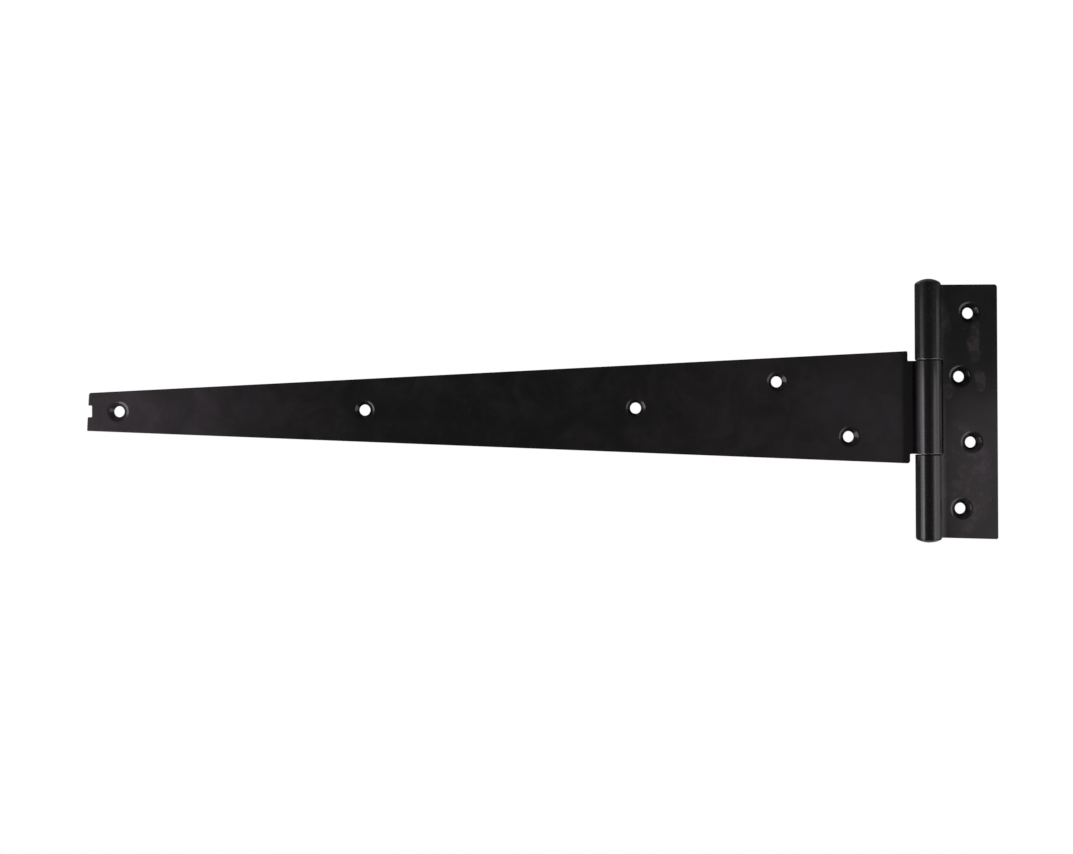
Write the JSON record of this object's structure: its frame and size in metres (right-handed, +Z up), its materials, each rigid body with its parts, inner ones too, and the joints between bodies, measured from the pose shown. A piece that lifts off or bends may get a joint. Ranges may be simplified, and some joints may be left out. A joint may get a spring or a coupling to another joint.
{
  "type": "tee hinge",
  "caption": "Heavy Scotch tee hinge: a long tapered strap and a short cross leaf, rolled round a riveted pin, in black enamelled steel.",
  "frame": {"origin": "on the pin's axis, level with the middle of the cross leaf", "axes": "+Z up the pin, strap towards -X, cross leaf towards +X, flat screwed-on backs facing +Y"},
  "size_m": [0.4887, 0.0144, 0.1405],
  "materials": {
    "black_enamel": "satin black enamel on pressed steel, cloudy with handling",
    "pin_enamel": "satin black enamel over peened steel"
  },
  "bodies": {
    "leaf_and_pin": {"cross_leaf": "black_enamel", "pin": "pin_enamel"},
    "swinging_strap": {"strap": "black_enamel"}
  },
  "joints": [
    {"name": "strap_swing", "type": "hinge", "parent": "leaf_and_pin", "child": "swinging_strap", "pos_m": [0, 0, 0], "axis": [0, 0, 1], "range_deg": [0, 180]}
  ]
}
